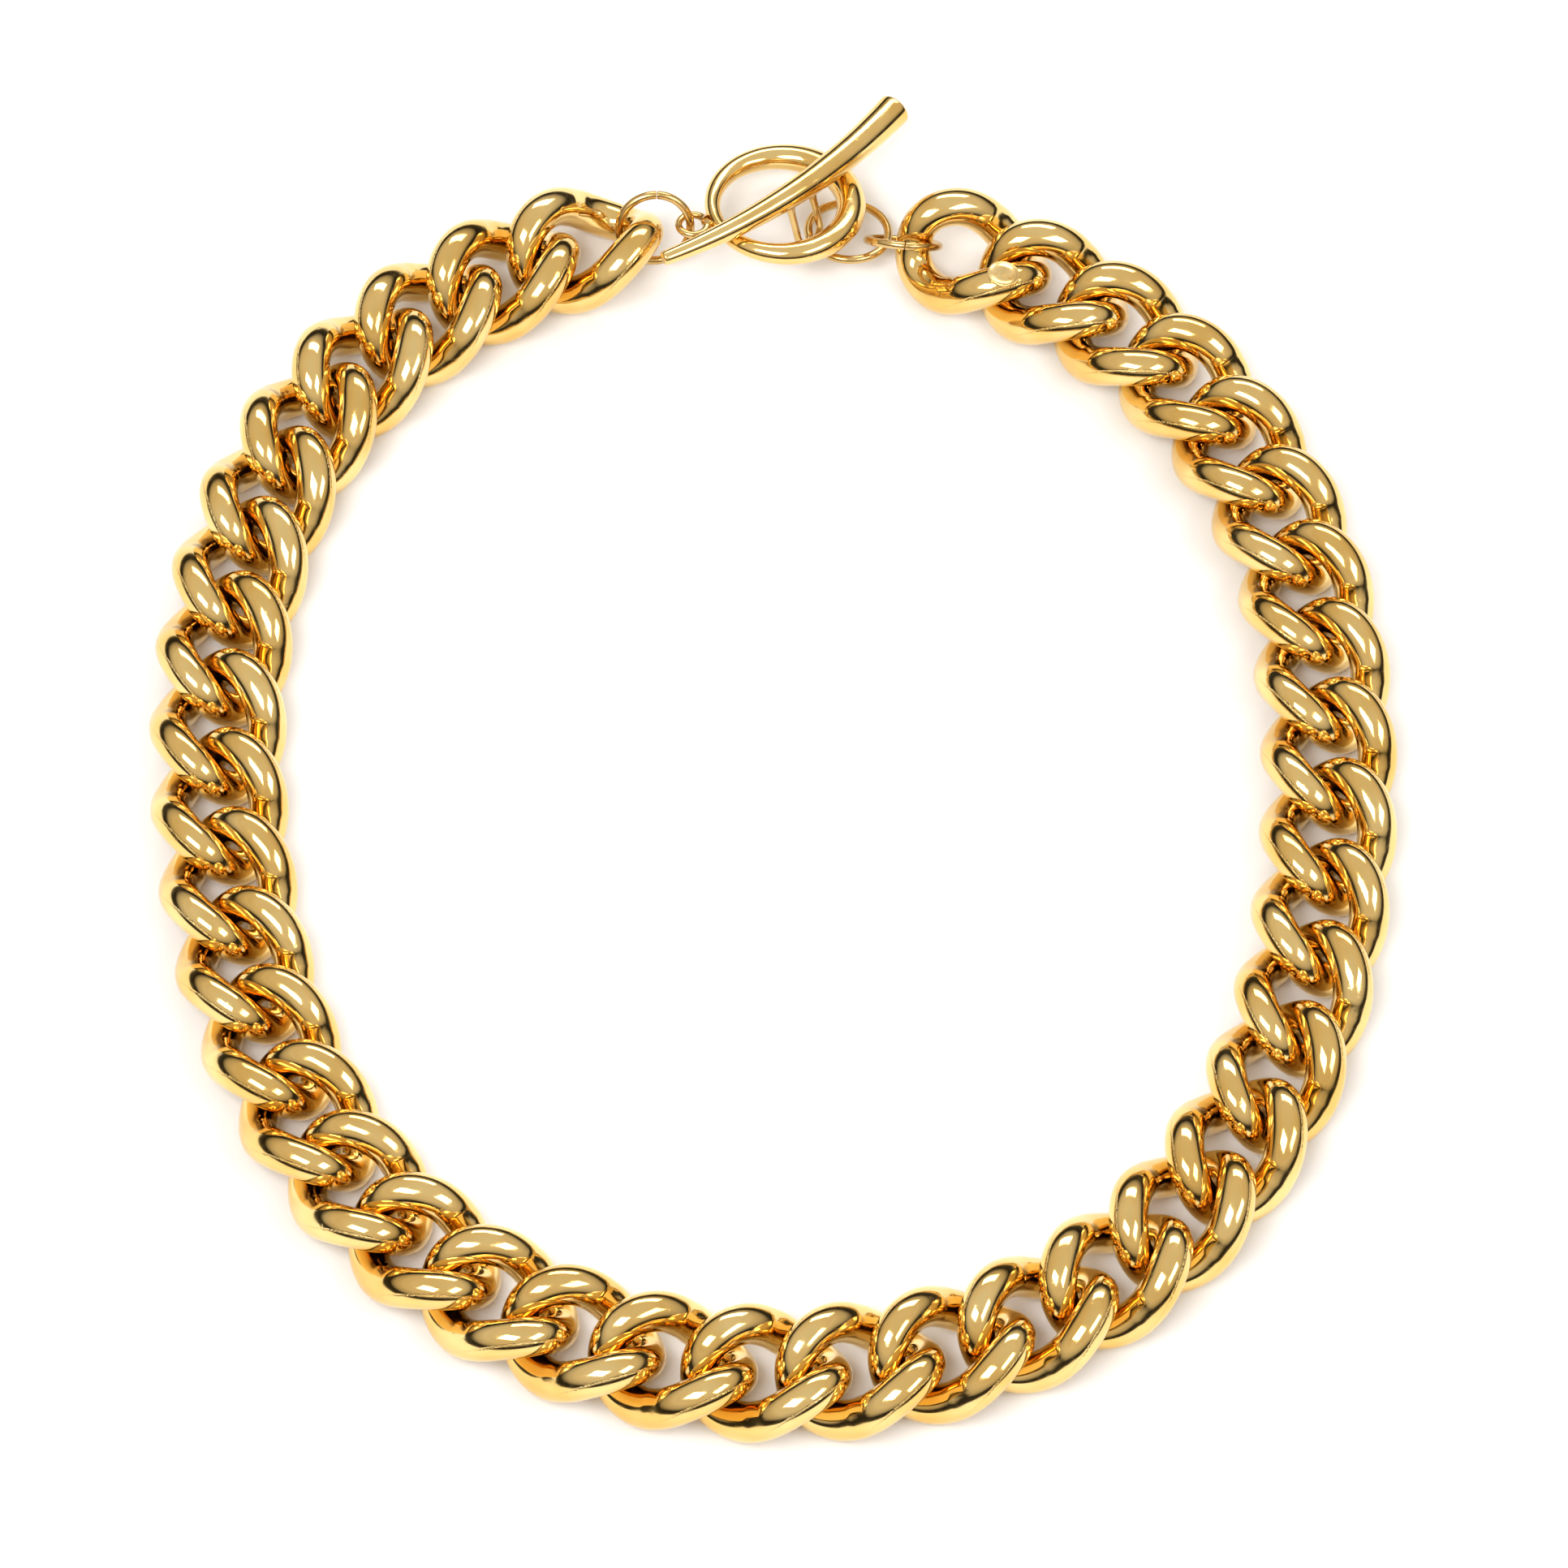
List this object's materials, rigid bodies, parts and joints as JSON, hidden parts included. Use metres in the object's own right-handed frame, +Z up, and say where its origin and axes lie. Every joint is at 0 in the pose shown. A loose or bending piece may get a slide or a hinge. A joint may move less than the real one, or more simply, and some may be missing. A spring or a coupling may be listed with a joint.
{
  "type": "chain necklace",
  "caption": "Chunky curb-link necklace lying closed in an oval, with a round toggle ring, a horn-shaped toggle bar, bails, jump rings and a small maker's plate.",
  "frame": {"origin": "middle of the whole box in plan, on the surface the necklace lies on", "axes": "+X towards the wearer's right, +Y towards the clasp, +Z up from the surface"},
  "size_m": [0.1484, 0.1802, 0.0113],
  "materials": {
    "polished_gold": "polished",
    "gold_wire": "polished wire",
    "gold_plate": "brushed"
  },
  "bodies": {
    "link_01": {"link_01": "polished_gold"},
    "link_02": {"link_02": "polished_gold"},
    "link_03": {"link_03": "polished_gold"},
    "link_04": {"link_04": "polished_gold"},
    "link_05": {"link_05": "polished_gold"},
    "link_06": {"link_06": "polished_gold"},
    "link_07": {"link_07": "polished_gold"},
    "link_08": {"link_08": "polished_gold"},
    "link_09": {"link_09": "polished_gold"},
    "link_10": {"link_10": "polished_gold"},
    "link_11": {"link_11": "polished_gold"},
    "link_12": {"link_12": "polished_gold"},
    "link_13": {"link_13": "polished_gold"},
    "link_14": {"link_14": "polished_gold"},
    "link_15": {"link_15": "polished_gold"},
    "link_16": {"link_16": "polished_gold"},
    "link_17": {"link_17": "polished_gold"},
    "link_18": {"link_18": "polished_gold"},
    "link_19": {"link_19": "polished_gold"},
    "link_20": {"link_20": "polished_gold"},
    "link_21": {"link_21": "polished_gold"},
    "link_22": {"link_22": "polished_gold"},
    "link_23": {"link_23": "polished_gold"},
    "link_24": {"link_24": "polished_gold"},
    "link_25": {"link_25": "polished_gold"},
    "link_26": {"link_26": "polished_gold"},
    "link_27": {"link_27": "polished_gold"},
    "link_28": {"link_28": "polished_gold"},
    "link_29": {"link_29": "polished_gold"},
    "link_30": {"link_30": "polished_gold"},
    "link_31": {"link_31": "polished_gold"},
    "link_32": {"link_32": "polished_gold"},
    "link_33": {"link_33": "polished_gold"},
    "link_34": {"link_34": "polished_gold"},
    "link_35": {"link_35": "polished_gold"},
    "link_36": {"link_36": "polished_gold"},
    "link_37": {"link_37": "polished_gold"},
    "link_38": {"link_38": "polished_gold"},
    "link_39": {"link_39": "polished_gold", "maker_plate": "gold_plate"},
    "left_jump_ring": {"left_jump_ring": "gold_wire"},
    "toggle_ring": {"toggle_ring": "polished_gold", "toggle_ring_bail": "gold_wire"},
    "toggle_bar": {"toggle_bar": "polished_gold", "toggle_bar_bail": "gold_wire"},
    "bar_jump_ring": {"bar_jump_ring": "gold_wire"},
    "chain_jump_ring": {"chain_jump_ring": "gold_wire"}
  },
  "joints": [
    {"name": "sway_19_20", "type": "hinge", "parent": "link_20", "child": "link_19", "pos_m": [-0.00538, -0.08199, 0.00502], "axis": [0, 0, 1], "range_deg": [-2.4, 2.4]},
    {"name": "sway_01_02", "type": "hinge", "parent": "link_02", "child": "link_01", "pos_m": [-0.02901, 0.06788, 0.00502], "axis": [0, 0, 1], "range_deg": [-5.2, 5.2]},
    {"name": "sway_03_04", "type": "hinge", "parent": "link_04", "child": "link_03", "pos_m": [-0.04698, 0.05593, 0.00502], "axis": [0, 0, 1], "range_deg": [-1.94, 1.94]},
    {"name": "sway_05_06", "type": "hinge", "parent": "link_06", "child": "link_05", "pos_m": [-0.0595, 0.03835, 0.00502], "axis": [0, 0, 1], "range_deg": [-1.16, 1.16]},
    {"name": "sway_07_08", "type": "hinge", "parent": "link_08", "child": "link_07", "pos_m": [-0.06544, 0.01757, 0.00502], "axis": [0, 0, 1], "range_deg": [-3.14, 3.14]},
    {"name": "sway_09_10", "type": "hinge", "parent": "link_10", "child": "link_09", "pos_m": [-0.06608, -0.00409, 0.00502], "axis": [0, 0, 1], "range_deg": [-3.65, 3.65]},
    {"name": "sway_11_12", "type": "hinge", "parent": "link_12", "child": "link_11", "pos_m": [-0.06322, -0.02558, 0.00502], "axis": [0, 0, 1], "range_deg": [-2.61, 2.61]},
    {"name": "sway_13_14", "type": "hinge", "parent": "link_14", "child": "link_13", "pos_m": [-0.05627, -0.04608, 0.00502], "axis": [0, 0, 1], "range_deg": [-0.88, 0.88]},
    {"name": "sway_15_16", "type": "hinge", "parent": "link_16", "child": "link_15", "pos_m": [-0.04381, -0.06373, 0.00502], "axis": [0, 0, 1], "range_deg": [-0.94, 0.94]},
    {"name": "sway_17_18", "type": "hinge", "parent": "link_18", "child": "link_17", "pos_m": [-0.02619, -0.07621, 0.00502], "axis": [0, 0, 1], "range_deg": [-1.99, 1.99]},
    {"name": "sway_21_22", "type": "hinge", "parent": "link_21", "child": "link_22", "pos_m": [0.01616, -0.08051, 0.00502], "axis": [0, 0, 1], "range_deg": [-2.54, 2.54]},
    {"name": "sway_23_24", "type": "hinge", "parent": "link_23", "child": "link_24", "pos_m": [0.03592, -0.07182, 0.00502], "axis": [0, 0, 1], "range_deg": [-1.98, 1.98]},
    {"name": "sway_25_26", "type": "hinge", "parent": "link_25", "child": "link_26", "pos_m": [0.05143, -0.05679, 0.00502], "axis": [0, 0, 1], "range_deg": [-0.88, 0.88]},
    {"name": "sway_27_28", "type": "hinge", "parent": "link_27", "child": "link_28", "pos_m": [0.06113, -0.03748, 0.00502], "axis": [0, 0, 1], "range_deg": [-1.62, 1.62]},
    {"name": "sway_29_30", "type": "hinge", "parent": "link_29", "child": "link_30", "pos_m": [0.06549, -0.01627, 0.00502], "axis": [0, 0, 1], "range_deg": [-3.56, 3.56]},
    {"name": "sway_31_32", "type": "hinge", "parent": "link_31", "child": "link_32", "pos_m": [0.06614, 0.0054, 0.00502], "axis": [0, 0, 1], "range_deg": [-3.96, 3.96]},
    {"name": "sway_33_34", "type": "hinge", "parent": "link_33", "child": "link_34", "pos_m": [0.06282, 0.0268, 0.00502], "axis": [0, 0, 1], "range_deg": [-2.41, 2.41]},
    {"name": "sway_35_36", "type": "hinge", "parent": "link_35", "child": "link_36", "pos_m": [0.05366, 0.04637, 0.00502], "axis": [0, 0, 1], "range_deg": [-0.88, 0.88]},
    {"name": "sway_37_38", "type": "hinge", "parent": "link_37", "child": "link_38", "pos_m": [0.03839, 0.06162, 0.00502], "axis": [0, 0, 1], "range_deg": [-4.14, 4.14]},
    {"name": "drape_20_21", "type": "hinge", "parent": "link_20", "child": "link_21", "pos_m": [0.00545, -0.08217, 0.00502], "axis": [0.0685, -0.9977, 0], "range_deg": [0, 5.2]},
    {"name": "drape_02_03", "type": "hinge", "parent": "link_03", "child": "link_02", "pos_m": [-0.03853, 0.06271, 0.00502], "axis": [-0.5537, 0.8327, 0], "range_deg": [-0.04, 1.85]},
    {"name": "drape_04_05", "type": "hinge", "parent": "link_05", "child": "link_04", "pos_m": [-0.05405, 0.04771, 0.00502], "axis": [-0.8147, 0.5799, 0], "range_deg": [-4.67, 0.09]},
    {"name": "drape_06_07", "type": "hinge", "parent": "link_07", "child": "link_06", "pos_m": [-0.06326, 0.02819, 0.00502], "axis": [-0.9614, 0.2751, 0], "range_deg": [-0.04, 1.86]},
    {"name": "drape_08_09", "type": "hinge", "parent": "link_09", "child": "link_08", "pos_m": [-0.06628, 0.00675, 0.00502], "axis": [-0.9996, 0.0294, 0], "range_deg": [-1.86, 0.04]},
    {"name": "drape_10_11", "type": "hinge", "parent": "link_11", "child": "link_10", "pos_m": [-0.06506, -0.01489, 0.00502], "axis": [-0.9912, -0.132, 0], "range_deg": [-0.1, 5.29]},
    {"name": "drape_12_13", "type": "hinge", "parent": "link_13", "child": "link_12", "pos_m": [-0.06037, -0.03604, 0.00502], "axis": [-0.9472, -0.3208, 0], "range_deg": [-1.86, 0.04]},
    {"name": "drape_14_15", "type": "hinge", "parent": "link_15", "child": "link_14", "pos_m": [-0.05076, -0.05541, 0.00502], "axis": [-0.8168, -0.5769, 0], "range_deg": [-1.86, 0.04]},
    {"name": "drape_16_17", "type": "hinge", "parent": "link_17", "child": "link_16", "pos_m": [-0.03555, -0.07074, 0.00502], "axis": [-0.5779, -0.8161, 0], "range_deg": [-4.04, 0.08]},
    {"name": "drape_18_19", "type": "hinge", "parent": "link_19", "child": "link_18", "pos_m": [-0.01603, -0.07999, 0.00502], "axis": [-0.2676, -0.9635, 0], "range_deg": [-0.04, 1.85]},
    {"name": "drape_22_23", "type": "hinge", "parent": "link_22", "child": "link_23", "pos_m": [0.02643, -0.07704, 0.00502], "axis": [0.4026, -0.9154, 0], "range_deg": [-1.86, 0.04]},
    {"name": "drape_24_25", "type": "hinge", "parent": "link_24", "child": "link_25", "pos_m": [0.04434, -0.06499, 0.00502], "axis": [0.6958, -0.7182, 0], "range_deg": [-0.04, 1.86]},
    {"name": "drape_26_27", "type": "hinge", "parent": "link_26", "child": "link_27", "pos_m": [0.05703, -0.04752, 0.00502], "axis": [0.8935, -0.449, 0], "range_deg": [-0.04, 1.86]},
    {"name": "drape_28_29", "type": "hinge", "parent": "link_28", "child": "link_29", "pos_m": [0.06387, -0.02699, 0.00502], "axis": [0.9795, -0.2014, 0], "range_deg": [-0.04, 1.85]},
    {"name": "drape_30_31", "type": "hinge", "parent": "link_30", "child": "link_31", "pos_m": [0.06622, -0.00544, 0.00502], "axis": [0.9996, -0.0298, 0], "range_deg": [-4.15, 0.08]},
    {"name": "drape_32_33", "type": "hinge", "parent": "link_32", "child": "link_33", "pos_m": [0.0651, 0.0162, 0.00502], "axis": [0.9881, 0.1535, 0], "range_deg": [-1.97, 0.04]},
    {"name": "drape_34_35", "type": "hinge", "parent": "link_34", "child": "link_35", "pos_m": [0.05905, 0.03696, 0.00502], "axis": [0.9058, 0.4237, 0], "range_deg": [-0.04, 1.86]},
    {"name": "drape_36_37", "type": "hinge", "parent": "link_36", "child": "link_37", "pos_m": [0.04671, 0.05468, 0.00502], "axis": [0.7066, 0.7076, 0], "range_deg": [-1.85, 0.04]},
    {"name": "drape_38_39", "type": "hinge", "parent": "link_38", "child": "link_39", "pos_m": [0.02899, 0.06701, 0.00502], "axis": [0.4249, 0.9052, 0], "range_deg": [-0.19, 9.51]},
    {"name": "left_jump_ring_turn", "type": "hinge", "parent": "link_01", "child": "left_jump_ring", "pos_m": [-0.01533, 0.07147, 0.00648], "axis": [0.0886, -0.8292, 0.5519], "continuous": true},
    {"name": "toggle_ring_roll", "type": "hinge", "parent": "link_01", "child": "toggle_ring", "pos_m": [-0.01065, 0.07184, 0.00674], "axis": [0.9999, -0.0158, 0], "range_deg": [-5, 5]},
    {"name": "toggle_bar_swivel", "type": "hinge", "parent": "toggle_ring", "child": "toggle_bar", "pos_m": [0.00362, 0.07327, 0.00348], "axis": [0.0037, 0.2368, 0.9715], "range_deg": [-6, 6]},
    {"name": "chain_jump_ring_turn", "type": "hinge", "parent": "link_39", "child": "chain_jump_ring", "pos_m": [0.01522, 0.07122, 0.00441], "axis": [0.0687, 0.8009, 0.5948], "continuous": true},
    {"name": "bar_jump_ring_turn", "type": "hinge", "parent": "link_39", "child": "bar_jump_ring", "pos_m": [0.00852, 0.07358, 0.00301], "axis": [0.0416, 0.2383, 0.9703], "continuous": true}
  ],
  "couplings": [
    {"joint": "sway_01_02", "follows": "sway_19_20", "ratio": 2.0824},
    {"joint": "sway_03_04", "follows": "sway_19_20", "ratio": 0.778},
    {"joint": "sway_05_06", "follows": "sway_19_20", "ratio": -0.4664},
    {"joint": "sway_07_08", "follows": "sway_19_20", "ratio": -1.2575},
    {"joint": "sway_09_10", "follows": "sway_19_20", "ratio": -1.4634},
    {"joint": "sway_11_12", "follows": "sway_19_20", "ratio": -1.0453},
    {"joint": "sway_13_14", "follows": "sway_19_20", "ratio": -0.3536},
    {"joint": "sway_15_16", "follows": "sway_19_20", "ratio": 0.3782},
    {"joint": "sway_17_18", "follows": "sway_19_20", "ratio": 0.7986},
    {"joint": "sway_21_22", "follows": "sway_19_20", "ratio": -1.0164},
    {"joint": "sway_23_24", "follows": "sway_19_20", "ratio": -0.7924},
    {"joint": "sway_25_26", "follows": "sway_19_20", "ratio": -0.3536},
    {"joint": "sway_27_28", "follows": "sway_19_20", "ratio": 0.6506},
    {"joint": "sway_29_30", "follows": "sway_19_20", "ratio": 1.4277},
    {"joint": "sway_31_32", "follows": "sway_19_20", "ratio": 1.5845},
    {"joint": "sway_33_34", "follows": "sway_19_20", "ratio": 0.9647},
    {"joint": "sway_35_36", "follows": "sway_19_20", "ratio": -0.3536},
    {"joint": "sway_37_38", "follows": "sway_19_20", "ratio": -1.6604},
    {"joint": "drape_02_03", "follows": "drape_20_21", "ratio": 0.3494},
    {"joint": "drape_04_05", "follows": "drape_20_21", "ratio": -0.8805},
    {"joint": "drape_06_07", "follows": "drape_20_21", "ratio": 0.3503},
    {"joint": "drape_08_09", "follows": "drape_20_21", "ratio": -0.35},
    {"joint": "drape_10_11", "follows": "drape_20_21", "ratio": 0.998},
    {"joint": "drape_12_13", "follows": "drape_20_21", "ratio": -0.3502},
    {"joint": "drape_14_15", "follows": "drape_20_21", "ratio": -0.3504},
    {"joint": "drape_16_17", "follows": "drape_20_21", "ratio": -0.7622},
    {"joint": "drape_18_19", "follows": "drape_20_21", "ratio": 0.3498},
    {"joint": "drape_22_23", "follows": "drape_20_21", "ratio": -0.35},
    {"joint": "drape_24_25", "follows": "drape_20_21", "ratio": 0.3503},
    {"joint": "drape_26_27", "follows": "drape_20_21", "ratio": 0.35},
    {"joint": "drape_28_29", "follows": "drape_20_21", "ratio": 0.3498},
    {"joint": "drape_30_31", "follows": "drape_20_21", "ratio": -0.7817},
    {"joint": "drape_32_33", "follows": "drape_20_21", "ratio": -0.3704},
    {"joint": "drape_34_35", "follows": "drape_20_21", "ratio": 0.3504},
    {"joint": "drape_36_37", "follows": "drape_20_21", "ratio": -0.3498},
    {"joint": "drape_38_39", "follows": "drape_20_21", "ratio": 1.7938}
  ]
}
